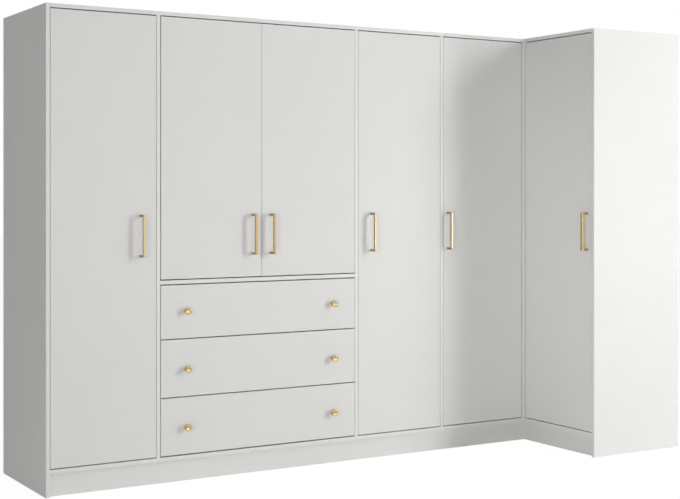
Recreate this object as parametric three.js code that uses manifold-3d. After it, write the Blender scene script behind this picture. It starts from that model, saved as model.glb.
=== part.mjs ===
// Corner wardrobe in white melamine board with brass handles and knobs. A long run stands against
// the back wall, and a short return comes forward at its right end. Six doors and three drawers are
// set flush inside the edges of the boards.
// Millimetres, +Z up. The run faces -Y, the return faces -X, and the walls are at +Y and +X.
import * as THREE from "three";
import { mergeVertices } from "three/addons/utils/BufferGeometryUtils.js";
import Module from "manifold-3d";

const wasm = await Module();
wasm.setup();

// Overall sizes
const height = 1800;
const mainDepth = 500; // the run, front to wall
const returnDepth = 490; // the return, front to wall
const returnReach = 452; // how far the return stands in front of the run
const leftBay = 422; // clear widths between the upright boards
const middleBay = 879;
const rightBay = 422;
const cornerBay = 447; // from the right divider to the return's front
const board = 15;
const backBoard = 5;
const plinthHeight = 86;
const plinthRecess = 20;
const rearPlinthInset = 10;
const postFace = 9; // strip of the corner post that shows beside each door
const postLeg = 80;

// Doors, drawers and the gaps round them
const sideGap = 3;
const endGap = 4; // above and below each front
const lowerFront = 219;
const upperFront = 205;

// What hangs and lies inside
const looseGap = 0.5; // round a shelf that lifts out
const seatGap = 0.3; // under a fitting that is screwed on
const railTall = 30;
const railThick = 15;
const railDrop = 60; // from the board above to the middle of the rail
const railBend = 150;
const socketRim = 5; // how far a rail socket stands out round the rail
const socketDeep = 12;
const hatSpace = 270;
const hatSetback = 30;
const shelfSetback = 25;

// Handles and knobs
const handleLong = 161;
const handleWide = 9;
const handleThick = 9;
const handleReach = 35;
const handleCentre = 946.5; // above the floor
const handleInset = 62; // from the door's free edge, on the outer doors of the run
const pairInset = 40; // on the two doors that meet
const cornerInset = 20; // on the run's last door
const returnInset = 22;
const handleCorner = 3;
const handleEdge = 1;
const knobReach = 24;
const knobHead = 14; // radii
const knobNeck = 5.5;
const knobFoot = 8;
const knobFootThick = 2;
const knobHeadThick = 8;
const knobRim = 3;
const knobDish = 9.5; // radius of the hollow in its face
const knobDishDeep = 1.5;
const knobInset = 110; // from the bay's side
const knobLift = 105; // above the front's lower edge

// Concealed hinges
const hingeInset = 100; // from the door's end
const cupRadius = 16.5;
const cupFloor = 4; // board left under the cup
const cupFlangeRadius = 19;
const cupFlange = 1.2; // thickness
const cupEarLong = 62;
const cupEarWide = 16;
const cupMargin = 5; // board left between the cup and the door's edge
const plateFront = 22; // from the door's inner face
const plateLong = 42;
const plateTall = 48;
const plateStem = 18;
const plateThick = 2.5;
const plateCorner = 3.5;
const plateTip = 1.5; // corners at the plate's two ends
const armWide = 15;
const armThick = 9;
const armNose = 8;
const armDip = 5; // into the cup
const armCorner = 3.5;
const armTip = 1.5; // corners at the nose
const screwRadius = 3.5;
const screwStand = 1.5;

// Drawer boxes and their telescopic runners
const boxWall = 12;
const boxBottom = 4;
const boxBottomLift = 10;
const boxLift = 30; // above the front's lower edge
const boxDrop = 35; // below the shorter fronts' upper edge
const boxBack = 30; // left free behind the box
const runnerSpace = 13;
const runnerHigh = 45;
const runnerWall = 2;
const runnerPlay = 0.5;
const runnerLift = 38; // above the box's lower edge
const runnerSetback = 5; // from both ends of the box

// Cutting tools run past the face that they enter
const overrun = 1;

// Flats on round forms, on a half-round end, on a rounded corner and round the rail's bend
const roundSides = 20;
const halfSides = 8;
const cornerSteps = 3;
const bendSteps = 9;

// Planes that several boards share
const leftInner = board;
const leftDividerFace = leftInner + leftBay;
const middleInner = leftDividerFace + board;
const middleDividerFace = middleInner + middleBay;
const rightInner = middleDividerFace + board;
const rightDividerFace = rightInner + rightBay;
const cornerInner = rightDividerFace + board;
const returnFront = cornerInner + cornerBay;
const rightWall = returnFront + returnDepth;
const rightBackFace = rightWall - backBoard;
const mainBackFace = mainDepth - backBoard;
const endFace = -returnReach;
const endInner = endFace + board;
const deckTop = plinthHeight + board;
const topUnder = height - board;
const backSeam = middleDividerFace + board / 2;
const rearPlinthY = mainBackFace - rearPlinthInset - board;
const rearPlinthX = rightBackFace - rearPlinthInset - board;
const mainPostFace = returnFront - postFace;
const hatUnder = topUnder - hatSpace - board;
const boxHigh = Math.min(lowerFront, upperFront) - boxLift - boxDrop;
const boxLong = mainBackFace - board - boxBack;
const runnerLong = boxLong - 2 * runnerSetback;

// Drawer fronts from the bottom row up, and the fixed shelf that they stop under
const drawerRows = [lowerFront, lowerFront, upperFront].reduce(
  (rows, front) => {
    const low = rows.next + endGap;
    rows.fronts.push({ low, high: low + front });
    return { fronts: rows.fronts, next: low + front };
  },
  { fronts: [], next: deckTop },
);
const drawerShelfUnder = drawerRows.next + endGap;
const drawerShelfTop = drawerShelfUnder + board;

// Finishes
const whiteBoard = { color: 0xf1f1ef, roughness: 0.5, metalness: 0 };
const backFinish = { color: 0xe9e7e2, roughness: 0.7, metalness: 0 };
const brass = { color: 0xc6a367, roughness: 0.3, metalness: 1 };
const nickel = { color: 0xb9bcc0, roughness: 0.35, metalness: 1 };
const chrome = { color: 0xd6d9dc, roughness: 0.15, metalness: 1 };

// Extrusion directions: a section for X is drawn in (y, z), for Y in (z, x) and for Z in (x, y)
const xAxis = new THREE.Vector3(1, 0, 0);
const yAxis = new THREE.Vector3(0, 1, 0);
const zAxis = new THREE.Vector3(0, 0, 1);
const alongX = new THREE.Matrix4().makeBasis(yAxis, zAxis, xAxis);
const alongY = new THREE.Matrix4().makeBasis(zAxis, xAxis, yAxis);
const alongZ = new THREE.Matrix4();

// A box between two opposite corners. Its planes are taken as given, so that boards share them.
function block(low, high) {
  const geometry = new THREE.BoxGeometry(1, 1, 1);
  const at = geometry.getAttribute("position");
  for (let i = 0; i < at.count; i++) {
    const sides = [at.getX(i), at.getY(i), at.getZ(i)];
    at.setXYZ(i, ...sides.map((side, axis) => (side < 0 ? low[axis] : high[axis])));
  }
  return geometry;
}

// A flat outline from one plane to another along an axis, each of its curves in a few steps
function prism(outline, from, to, along = alongZ, curveSegments = cornerSteps) {
  const geometry = new THREE.ExtrudeGeometry(outline, {
    depth: 1,
    bevelEnabled: false,
    curveSegments,
  });
  const at = geometry.getAttribute("position");
  for (let i = 0; i < at.count; i++) at.setZ(i, at.getZ(i) < 1 / 2 ? from : to);
  return geometry.applyMatrix4(along);
}

// A closed outline through corners [x, y, radius], where a corner without a radius stays sharp
function outlineOf(corners) {
  const points = corners.map(([x, y]) => new THREE.Vector2(x, y));
  const shape = new THREE.Shape();
  corners.forEach(([, , radius = 0], i) => {
    const here = points[i];
    const before = points[(i + corners.length - 1) % corners.length];
    const after = points[(i + 1) % corners.length];
    const entry = before.clone().sub(here).setLength(radius).add(here);
    const exit = after.clone().sub(here).setLength(radius).add(here);
    if (i === 0) shape.moveTo(entry.x, entry.y);
    else shape.lineTo(entry.x, entry.y);
    if (radius > 0) shape.quadraticCurveTo(here.x, here.y, exit.x, exit.y);
  });
  shape.closePath();
  return shape;
}

// A slot-shaped outline round the origin, its long way along the first axis
function slotOutline(long, wide) {
  const radius = wide / 2;
  const half = long / 2 - radius;
  const shape = new THREE.Shape();
  shape.absarc(half, 0, radius, -Math.PI / 2, Math.PI / 2, false);
  shape.absarc(-half, 0, radius, Math.PI / 2, (3 * Math.PI) / 2, false);
  shape.closePath();
  return shape;
}

function solidOf(geometry) {
  const bare = new THREE.BufferGeometry();
  bare.setAttribute("position", geometry.getAttribute("position"));
  if (geometry.index) bare.setIndex(geometry.index);
  const welded = mergeVertices(bare);
  return new wasm.Manifold(
    new wasm.Mesh({
      numProp: 3,
      vertProperties: new Float32Array(welded.getAttribute("position").array),
      triVerts: new Uint32Array(welded.index.array),
    }),
  );
}

function geometryOf(solid) {
  const { vertProperties, triVerts } = solid.getMesh();
  const geometry = new THREE.BufferGeometry();
  geometry.setAttribute("position", new THREE.BufferAttribute(vertProperties, 3));
  geometry.setIndex(new THREE.BufferAttribute(triVerts, 1));
  geometry.computeVertexNormals();
  return geometry;
}

function join(body, additions) {
  return geometryOf(additions.reduce((sum, one) => sum.add(solidOf(one)), solidOf(body)));
}

function cut(body, tools) {
  return geometryOf(tools.reduce((rest, one) => rest.subtract(solidOf(one)), solidOf(body)));
}

// The long run starts at x = 0, and the whole stands centred on its footprint
const wardrobe = new THREE.Group();
wardrobe.position.set(-rightWall / 2, -(mainDepth + endFace) / 2, 0);

function place(name, geometry, finish, parent = wardrobe) {
  const mesh = new THREE.Mesh(geometry, new THREE.MeshStandardMaterial(finish));
  mesh.name = name;
  parent.add(mesh);
  return mesh;
}

// The fixed half of a runner is a channel on the divider, and the sliding half nests inside it.
// "face" is the side that carries the channel and "out" is +1 or -1 towards its mouth.
function runnerChannel(face, out, low, deep, high, wall, front, long) {
  const mouth = face + out * deep;
  const web = face + out * wall;
  const section = outlineOf([
    [low, face],
    [low, mouth],
    [low + wall, mouth],
    [low + wall, web],
    [low + high - wall, web],
    [low + high - wall, mouth],
    [low + high, mouth],
    [low + high, face],
  ]);
  return prism(section, front, front + long, alongY);
}

const runnerFront = board + runnerSetback;
const runnerLows = drawerRows.fronts.map(({ low }) => low + boxLift + runnerLift);

function fixedRunners(face, out) {
  const deep = runnerSpace - runnerPlay;
  return runnerLows.map((low) =>
    runnerChannel(face, out, low, deep, runnerHigh, runnerWall, runnerFront, runnerLong),
  );
}

function carcass() {
  const upright = (x) => block([x, 0, deckTop], [x + board, mainBackFace, topUnder]);
  const boards = {
    left_side_panel: block([0, 0, 0], [leftInner, mainDepth, height]),
    end_panel: block([returnFront, endFace, 0], [rightWall, endInner, height]),
    left_divider: join(upright(leftDividerFace), fixedRunners(middleInner, 1)),
    middle_divider: join(upright(middleDividerFace), fixedRunners(middleDividerFace, -1)),
    right_divider: upright(rightDividerFace),
    main_top: block([leftInner, 0, topUnder], [rightWall, mainDepth, height]),
    return_top: block([returnFront, endInner, topUnder], [rightWall, 0, height]),
    main_bottom: block([leftInner, 0, plinthHeight], [rightBackFace, mainBackFace, deckTop]),
    return_bottom: block([returnFront, endInner, plinthHeight], [rightBackFace, 0, deckTop]),
    drawer_shelf: block(
      [middleInner, 0, drawerShelfUnder],
      [middleDividerFace, mainBackFace, drawerShelfTop],
    ),
  };
  for (const [name, geometry] of Object.entries(boards)) place(name, geometry, whiteBoard);
}

// Two boards glued in an L, each showing a narrow strip beside its door
function cornerPost() {
  const legX = returnFront + postLeg;
  const section = outlineOf([
    [mainPostFace, 0],
    [returnFront, 0],
    [returnFront, -postFace],
    [legX, -postFace],
    [legX, board - postFace],
    [mainPostFace + board, board - postFace],
    [mainPostFace + board, postLeg],
    [mainPostFace, postLeg],
  ]);
  place("corner_post", prism(section, deckTop, topUnder), whiteBoard);
}

function plinths() {
  const turnX = returnFront + plinthRecess;
  const boards = {
    main_plinth: block([leftInner, plinthRecess, 0], [turnX, plinthRecess + board, plinthHeight]),
    return_plinth: block([turnX, endInner, 0], [turnX + board, plinthRecess + board, plinthHeight]),
    main_rear_plinth: block(
      [leftInner, rearPlinthY, 0],
      [rearPlinthX + board, rearPlinthY + board, plinthHeight],
    ),
    return_rear_plinth: block(
      [rearPlinthX, endInner, 0],
      [rearPlinthX + board, rearPlinthY, plinthHeight],
    ),
  };
  for (const [name, geometry] of Object.entries(boards)) place(name, geometry, whiteBoard);
}

function backs() {
  const boards = {
    left_back: block([leftInner, mainBackFace, plinthHeight], [backSeam, mainDepth, topUnder]),
    right_back: block([backSeam, mainBackFace, plinthHeight], [rightWall, mainDepth, topUnder]),
    return_back: block(
      [rightBackFace, endInner, plinthHeight],
      [rightWall, mainBackFace, topUnder],
    ),
  };
  for (const [name, geometry] of Object.entries(boards)) place(name, geometry, backFinish);
}

function rightShelves() {
  const names = ["right_lower_shelf", "right_upper_shelf"];
  const clear = (topUnder - deckTop - names.length * board) / (names.length + 1);
  names.forEach((name, i) => {
    const under = deckTop + clear + i * (clear + board);
    const shelf = block(
      [rightInner + looseGap, board + shelfSetback, under],
      [rightDividerFace - looseGap, mainBackFace - looseGap, under + board],
    );
    place(name, shelf, whiteBoard);
  });
}

// The hat shelf fills the corner bay and is notched round the post
function cornerHatShelf() {
  const mainEdge = board + hatSetback;
  const returnEdge = returnFront + mainEdge;
  const outline = outlineOf([
    [cornerInner + looseGap, mainEdge],
    [returnEdge, mainEdge],
    [returnEdge, endInner + looseGap],
    [rightBackFace - looseGap, endInner + looseGap],
    [rightBackFace - looseGap, mainBackFace - looseGap],
    [cornerInner + looseGap, mainBackFace - looseGap],
  ]);
  const shelf = prism(outline, hatUnder, hatUnder + board);
  const notch = block(
    [mainPostFace - looseGap, -postFace - looseGap, hatUnder - overrun],
    [returnFront + postLeg + looseGap, postLeg + looseGap, hatUnder + board + overrun],
  );
  place("corner_hat_shelf", cut(shelf, [notch]), whiteBoard);
}

// A straight oval rail between two uprights, with a socket at each end
function straightRail(name, from, to, centreZ) {
  const start = from + seatGap;
  const end = to - seatGap;
  const oval = slotOutline(railTall, railThick);
  const socket = slotOutline(railTall + 2 * socketRim, railThick + 2 * socketRim);
  const lift = new THREE.Matrix4().makeTranslation(0, mainBackFace / 2, centreZ);
  // The slot's long way is upright, so the section is turned a quarter about the rail
  const turn = new THREE.Matrix4().makeRotationX(Math.PI / 2);
  const ends = [
    [start, start + socketDeep],
    [end - socketDeep, end],
  ].map(([low, high]) => prism(socket, low, high, alongX, halfSides));
  const bar = prism(oval, start, end, alongX, halfSides);
  const rail = join(bar, ends).applyMatrix4(turn).applyMatrix4(lift);
  place(name, rail, chrome);
}

// The route of the corner rail: along the run, round a bend, and forward along the return.
// Each straight takes one step, and the rest go to the bend.
class BentRoute extends THREE.Curve {
  constructor(start, corner, end, radius, steps) {
    super();
    const ahead = corner.clone().sub(start).normalize();
    const aside = end.clone().sub(corner).normalize();
    const bendStart = corner.clone().addScaledVector(ahead, -radius);
    const bendEnd = corner.clone().addScaledVector(aside, radius);
    Object.assign(this, { start, end, radius, steps, ahead, aside, bendStart, bendEnd });
  }
  getUtoTmapping(u) {
    return u;
  }
  getPoint(t) {
    const step = t * this.steps;
    const last = this.steps - 1;
    if (step <= 1) return this.start.clone().lerp(this.bendStart, step);
    if (step >= last) return this.bendEnd.clone().lerp(this.end, step - last);
    const angle = (((step - 1) / (last - 1)) * Math.PI) / 2;
    return this.bendStart
      .clone()
      .addScaledVector(this.ahead, this.radius * Math.sin(angle))
      .addScaledVector(this.aside, this.radius * (1 - Math.cos(angle)));
  }
}

function cornerRail() {
  const z = hatUnder - railDrop;
  const y = mainBackFace / 2;
  const x = returnFront + returnDepth / 2;
  const start = new THREE.Vector3(cornerInner + seatGap, y, z);
  const end = new THREE.Vector3(x, endInner + seatGap, z);
  const steps = bendSteps + 2;
  const route = new BentRoute(start, new THREE.Vector3(x, y, z), end, railBend, steps);
  const rail = new THREE.ExtrudeGeometry(slotOutline(railTall, railThick), {
    steps,
    curveSegments: halfSides,
    extrudePath: route,
  });
  const socket = slotOutline(railTall + 2 * socketRim, railThick + 2 * socketRim);
  const upright = new THREE.Matrix4().makeRotationX(Math.PI / 2);
  const onDivider = prism(socket, start.x, start.x + socketDeep, alongX, halfSides)
    .applyMatrix4(upright)
    .translate(0, y, z);
  const onEnd = prism(socket, end.y, end.y + socketDeep, alongY, halfSides).translate(x, 0, z);
  place("corner_rail", join(rail, [onDivider, onEnd]), chrome);
}

// A square bar pull: a U with its legs at the very ends and softly rounded edges
function handleShape() {
  const half = handleLong / 2;
  const inside = half - handleThick;
  const barBack = handleThick - handleReach;
  const outline = outlineOf([
    [0, -half],
    [-handleReach, -half, handleCorner],
    [-handleReach, half, handleCorner],
    [0, half],
    [0, inside],
    [barBack, inside, handleCorner],
    [barBack, -inside, handleCorner],
    [0, -inside],
  ]);
  return new THREE.ExtrudeGeometry(outline, {
    depth: handleWide - 2 * handleEdge,
    curveSegments: cornerSteps,
    bevelThickness: handleEdge,
    bevelSize: handleEdge,
    bevelOffset: -handleEdge,
    bevelSegments: 1,
  })
    .translate(0, 0, handleEdge - handleWide / 2)
    .applyMatrix4(alongX);
}

// A turned knob: a thin foot, a waisted neck and a head with a rounded rim and a dished face
function knobShape() {
  const headLow = knobReach - knobHeadThick;
  const neckEnd = (headLow + knobFootThick) / 2;
  const rimStart = headLow + knobRim;
  const dishFloor = knobReach - knobDishDeep;
  const profile = new THREE.Path();
  profile.moveTo(0, 0);
  profile.lineTo(knobFoot, 0);
  profile.lineTo(knobFoot, knobFootThick);
  profile.quadraticCurveTo(knobNeck, knobFootThick, knobNeck, neckEnd);
  profile.quadraticCurveTo(knobNeck, headLow, knobHead - knobRim, headLow);
  profile.quadraticCurveTo(knobHead, headLow, knobHead, rimStart);
  profile.quadraticCurveTo(knobHead, knobReach, knobDish, knobReach);
  profile.quadraticCurveTo(knobDish / 2, dishFloor, 0, dishFloor);
  const turned = new THREE.LatheGeometry(profile.getPoints(cornerSteps), roundSides);
  return geometryOf(solidOf(turned.rotateX(Math.PI)));
}

// Hinge arm and mounting plate, drawn from the upright's face with the door at y = 0 to board.
// The plate is screwed to the upright. The cranked arm rests on the rim of the cup in the door, and
// its nose dips into the cup.
function hingeShape(cupX) {
  const plateStart = board + plateFront;
  const plateMiddle = plateStart + plateLong / 2;
  const plateEnd = plateStart + plateLong;
  const stem = plateStem / 2;
  const wing = plateTall / 2;
  const plate = outlineOf([
    [plateStart, -stem, plateTip],
    [plateMiddle - stem, -stem],
    [plateMiddle - stem, -wing, plateCorner],
    [plateMiddle + stem, -wing, plateCorner],
    [plateMiddle + stem, -stem],
    [plateEnd, -stem, plateTip],
    [plateEnd, stem, plateTip],
    [plateMiddle + stem, stem],
    [plateMiddle + stem, wing, plateCorner],
    [plateMiddle - stem, wing, plateCorner],
    [plateMiddle - stem, stem],
    [plateStart, stem, plateTip],
  ]);
  const cupFace = board + cupFlange;
  const armFace = cupFace + seatGap;
  const arm = outlineOf([
    [0, plateEnd - armCorner],
    [plateThick + armThick, plateEnd - armCorner, armCorner],
    [plateThick + armThick, plateStart, armCorner],
    [cupX + armNose, armFace + armThick, armCorner],
    [cupX + armNose, cupFace - armDip, armTip],
    [cupX - armNose, cupFace - armDip, armTip],
    [cupX - armNose, armFace],
    [cupX - cupFlangeRadius, armFace],
    [0, plateStart],
  ]);
  const screws = [-1, 1].map((side) =>
    new THREE.CylinderGeometry(screwRadius, screwRadius, plateThick + screwStand, roundSides / 2)
      .rotateZ(Math.PI / 2)
      .translate(
        (plateThick + screwStand) / 2,
        plateMiddle,
        side * (wing - screwRadius - plateTip),
      ),
  );
  const armSolid = prism(arm, -armWide / 2, armWide / 2);
  return join(prism(plate, 0, plateThick, alongX), [armSolid, ...screws]);
}

// Door board with the flanges and open cups of its hinges on the inner face
function doorShape(width, tall, cupX, hingeHeights) {
  const panel = block([sideGap, 0, -tall / 2], [sideGap + width, board, tall / 2]);
  const sunk = board - cupFlange;
  const proud = board + cupFlange;
  const round = (radius, from, to) =>
    new THREE.CylinderGeometry(radius, radius, to - from, roundSides).translate(0, (from + to) / 2, 0);
  const ear = slotOutline(cupEarLong, cupEarWide);
  const flanges = hingeHeights.flatMap((z) => [
    round(cupFlangeRadius, sunk, proud).translate(cupX, 0, z),
    prism(ear, sunk, proud, alongY).translate(cupX, 0, z),
  ]);
  const cups = hingeHeights.map((z) =>
    round(cupRadius, cupFloor, proud + overrun).translate(cupX, 0, z),
  );
  return cut(join(panel, flanges), cups);
}

// Doors by the upright that carries them: "left" opens with its hinges at its left, "right" is its
// mirror image, and "return" turns to face -X. The inset is from the door's free edge.
const tallOpening = { low: deckTop, high: topUnder };
const upperOpening = { low: drawerShelfTop, high: topUnder };
const outerWidth = leftBay - 2 * sideGap;
const pairWidth = (middleBay - 3 * sideGap) / 2;
const rightWidth = rightBay - 2 * sideGap;
const cornerWidth = cornerBay - postFace - 2 * sideGap;
const returnWidth = returnReach - board - postFace - 2 * sideGap;
const pair = { width: pairWidth, inset: pairInset, ...upperOpening };
const doors = [
  { side: "left", at: [leftInner, 0], width: outerWidth, inset: handleInset },
  { side: "left", at: [middleInner, 0], ...pair },
  { side: "right", at: [middleDividerFace, 0], ...pair },
  { side: "right", at: [rightDividerFace, 0], width: rightWidth, inset: handleInset },
  { side: "right", at: [mainPostFace, 0], width: cornerWidth, inset: cornerInset },
  { side: "return", at: [returnFront, -postFace], width: returnWidth, inset: returnInset },
];

function door({ side, at, width, inset, low, high }, name) {
  const middle = (low + high) / 2;
  const tall = high - low - 2 * endGap;
  const cupX = sideGap + cupMargin + cupRadius;
  const hingeAt = tall / 2 - hingeInset;
  const group = new THREE.Group();
  group.position.set(at[0], at[1], middle);
  if (side === "right") group.scale.x = -1;
  if (side === "return") group.rotation.z = -Math.PI / 2;
  wardrobe.add(group);
  place(name, doorShape(width, tall, cupX, [-hingeAt, hingeAt]), whiteBoard, group);
  const handle = place(name + "_handle", handleShape(), brass, group);
  handle.position.set(sideGap + width - inset, -seatGap, handleCentre - middle);
  for (const [level, z] of [
    ["lower", -hingeAt],
    ["upper", hingeAt],
  ]) {
    const hinge = place(name + "_" + level + "_hinge", hingeShape(cupX), nickel, group);
    hinge.position.set(seatGap, 0, z);
  }
}

// Drawer: the front, an open box behind it with its bottom let in above the lower edge, two knobs
function drawer({ low, high }, name) {
  const frontLow = [middleInner + sideGap, 0, low];
  const frontHigh = [middleDividerFace - sideGap, board, high];
  place(name + "_front", block(frontLow, frontHigh), whiteBoard);
  const left = middleInner + runnerSpace;
  const right = middleDividerFace - runnerSpace;
  const under = low + boxLift;
  const outer = block([left, board, under], [right, board + boxLong, under + boxHigh]);
  const well = (from, to) =>
    block(
      [left + boxWall, board + boxWall, from],
      [right - boxWall, board + boxLong - boxWall, to],
    );
  const inside = well(under + boxBottomLift + boxBottom, under + boxHigh + overrun);
  const below = well(under - overrun, under + boxBottomLift);
  const nestLow = under + runnerLift + runnerWall + runnerPlay;
  const nestHigh = runnerHigh - 2 * (runnerWall + runnerPlay);
  const nestDeep = runnerSpace - runnerWall - runnerPlay;
  const members = [
    [left, -1],
    [right, 1],
  ].map(([face, out]) =>
    runnerChannel(face, out, nestLow, nestDeep, nestHigh, runnerWall, runnerFront, runnerLong),
  );
  place(name + "_box", join(cut(outer, [inside, below]), members), whiteBoard);
  for (const [hand, x] of [
    ["left", middleInner + knobInset],
    ["right", middleDividerFace - knobInset],
  ]) {
    const knob = place(name + "_" + hand + "_knob", knobShape(), brass);
    knob.position.set(x, -seatGap, low + knobLift);
  }
}

carcass();
cornerPost();
plinths();
backs();
rightShelves();
cornerHatShelf();
straightRail("left_rail", leftInner, leftDividerFace, topUnder - railDrop);
straightRail("middle_rail", middleInner, middleDividerFace, topUnder - railDrop);
cornerRail();
doors.forEach((one, i) => door({ ...tallOpening, ...one }, "door_" + (i + 1)));
// Drawer 1 is the top one
drawerRows.fronts.toReversed().forEach((row, i) => drawer(row, "drawer_" + (i + 1)));

export default wardrobe;
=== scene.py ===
# %% [markdown]
# # A white corner wardrobe with brass pulls
#
# The construction is fixed before this lesson starts: every board, hinge and rail already has its
# place in millimetres. What is left is the looks. Boards get their edging and softened arrises, doors
# get bored cups, drawers get runners and screws, and each surface gets the finish of the real one.
# The first cell loads that frame and bakes each part's place into its mesh.

# %% Load the frame
import math

import bmesh
import bpy
from mathutils import Matrix, Vector


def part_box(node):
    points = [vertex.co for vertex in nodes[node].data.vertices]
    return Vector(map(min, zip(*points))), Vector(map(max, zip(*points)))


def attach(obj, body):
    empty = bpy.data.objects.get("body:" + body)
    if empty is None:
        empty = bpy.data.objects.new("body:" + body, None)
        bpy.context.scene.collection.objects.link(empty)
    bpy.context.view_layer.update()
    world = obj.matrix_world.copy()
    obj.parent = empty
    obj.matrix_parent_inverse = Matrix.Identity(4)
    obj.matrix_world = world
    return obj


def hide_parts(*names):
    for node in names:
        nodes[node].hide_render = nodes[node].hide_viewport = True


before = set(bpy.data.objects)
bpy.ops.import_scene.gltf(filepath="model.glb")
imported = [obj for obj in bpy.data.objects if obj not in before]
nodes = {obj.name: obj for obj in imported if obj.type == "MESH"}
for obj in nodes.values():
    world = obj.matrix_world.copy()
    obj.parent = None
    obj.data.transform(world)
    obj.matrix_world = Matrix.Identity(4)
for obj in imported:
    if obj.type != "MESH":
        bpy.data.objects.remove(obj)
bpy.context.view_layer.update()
MM = 0.001

# %% [markdown]
# ## The camera
#
# The picture was taken with the camera level, so all uprights stay upright. A level camera that still
# has the object low in the frame is a shifted one, as on a view camera. The place, the focal length
# and the shift come from the measured edges of the wardrobe.

# %% The camera
SENSOR = 36.0  # millimetres across the frame
CAMERA_PLACE = (-2.9648, -4.5953, 1.1069)
CAMERA_TURN = -30.31  # degrees from looking along +Y, towards +X


def add_object(name, data):
    """Puts an object of some data in the scene, at the origin."""
    obj = bpy.data.objects.new(name, data)
    bpy.context.collection.objects.link(obj)
    return obj


lens = bpy.data.cameras.new("view_camera")
lens.sensor_width = SENSOR
lens.lens = 69.41
lens.shift_x = 0.0588
lens.shift_y = -0.0824
camera = add_object("view_camera", lens)
camera.location = CAMERA_PLACE
camera.rotation_euler = (math.radians(90), 0, math.radians(CAMERA_TURN))
bpy.context.scene.camera = camera
bpy.context.scene.view_settings.view_transform = "Standard"
print("camera:", round(lens.lens, 2), "mm lens at", CAMERA_PLACE)

# %% [markdown]
# ## Colours and nodes
#
# Colours are written as the hex values that a screen shows, and one function turns them into the
# linear values that a renderer adds up. One more function adds a node with its settings and links, so
# that a material reads as a list of what feeds what. A node given as a value means its first output.


# %% Helpers for colours and nodes
def srgb(code):
    """Linear RGBA of a hex colour such as "#F0EFEC"."""
    parts = [int(code[i : i + 2], 16) / 255 for i in (1, 3, 5)]
    linear = [p / 12.92 if p <= 0.04045 else ((p + 0.055) / 1.055) ** 2.4 for p in parts]
    return (*linear, 1.0)


def feed(tree, node, values):
    """Gives inputs of a node a value each, or a link from a socket or a node's first output."""
    for key, value in values.items():
        if isinstance(value, bpy.types.Node):
            value = value.outputs[0]
        if isinstance(value, bpy.types.NodeSocket):
            tree.links.new(value, node.inputs[key])
        else:
            node.inputs[key].default_value = value
    return node


def add_node(tree, kind, values=None, **settings):
    """Adds a node with its settings, and feeds its inputs."""
    node = tree.nodes.new(kind)
    for name, value in settings.items():
        setattr(node, name, value)
    return feed(tree, node, values or {})


print("a white board's linear value:", round(srgb("#F0EFEC")[0], 3))

# %% [markdown]
# ## Studio light
#
# The front of the return is the brightest face, the doors grow lighter towards it, and the return
# throws a soft upright shadow on the door beside it. Such a shadow comes from tall softboxes that
# stand on the floor, so three of them are in front and to the right. The lowest board also shades the
# top of the plinth under it, so there is a high one with them and another overhead. One on the far
# left fills the side panel, a narrow beam beside it reaches the doors of the return, and a low one
# brightens the boards near the floor. Two with a narrow beam stand behind, because a wardrobe is also
# looked at from there. A few pulls have a white streak on them and the others none. Two small lamps
# make the streaks: shiny surfaces alone see them, and they see no other lamp. The camera and the
# metal see a white studio: that white is on camera, glossy and transmission rays alone, so it lights
# nothing.

# %% World, lamps and floor
AMBIENT = "#595959"
FLOOR_SIZE = 60.0
FLOOR_BOUNCE = "#E4E3E1"
FLOOR_SEEN = 0.95
FLOOR_SHADOW_SHARE = 0.10
WHITE = srgb("#FFFFFF")


def blank_tree(owner):
    owner.use_nodes = True
    owner.node_tree.nodes.clear()
    return owner.node_tree


def end_tree(tree, output, lit, seen):
    """One shader for the rays that light the boards, one for camera, glossy and transmission rays."""
    path = add_node(tree, "ShaderNodeLightPath").outputs
    shiny = {0: path["Is Glossy Ray"], 1: path["Is Transmission Ray"]}
    shiny = add_node(tree, "ShaderNodeMath", shiny, operation="MAXIMUM")
    direct = {0: path["Is Camera Ray"], 1: shiny}
    direct = add_node(tree, "ShaderNodeMath", direct, operation="MAXIMUM")
    mix = add_node(tree, "ShaderNodeMixShader", {0: direct, 1: lit, 2: seen})
    add_node(tree, output, {"Surface": mix})


def studio_world():
    world = bpy.data.worlds.new("studio")
    tree = blank_tree(world)
    grey = add_node(tree, "ShaderNodeBackground", {"Color": srgb(AMBIENT)})
    white = add_node(tree, "ShaderNodeBackground", {"Color": WHITE})
    end_tree(tree, "ShaderNodeOutputWorld", grey, white)
    bpy.context.scene.world = world


def softbox(name, power, size, place, aim, spread=180.0, mirrored=False):
    """A lamp of some watts, its width and height and place in metres, its beam in degrees."""
    lamp = bpy.data.lights.new(name, "AREA")
    lamp.shape = "RECTANGLE"
    lamp.size, lamp.size_y = size
    lamp.energy = power
    lamp.spread = math.radians(spread)
    holder = add_object(name, lamp)
    holder.location = place
    facing = Vector(aim) - Vector(place)
    holder.rotation_euler = facing.to_track_quat("-Z", "Y").to_euler()
    holder.visible_glossy = mirrored
    holder.visible_diffuse = not mirrored


def drawn(name, points, edges=(), faces=()):
    """An object of bare points, edges or faces."""
    data = bpy.data.meshes.new(name)
    data.from_pydata(points, edges, faces)
    return add_object(name, data)


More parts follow.
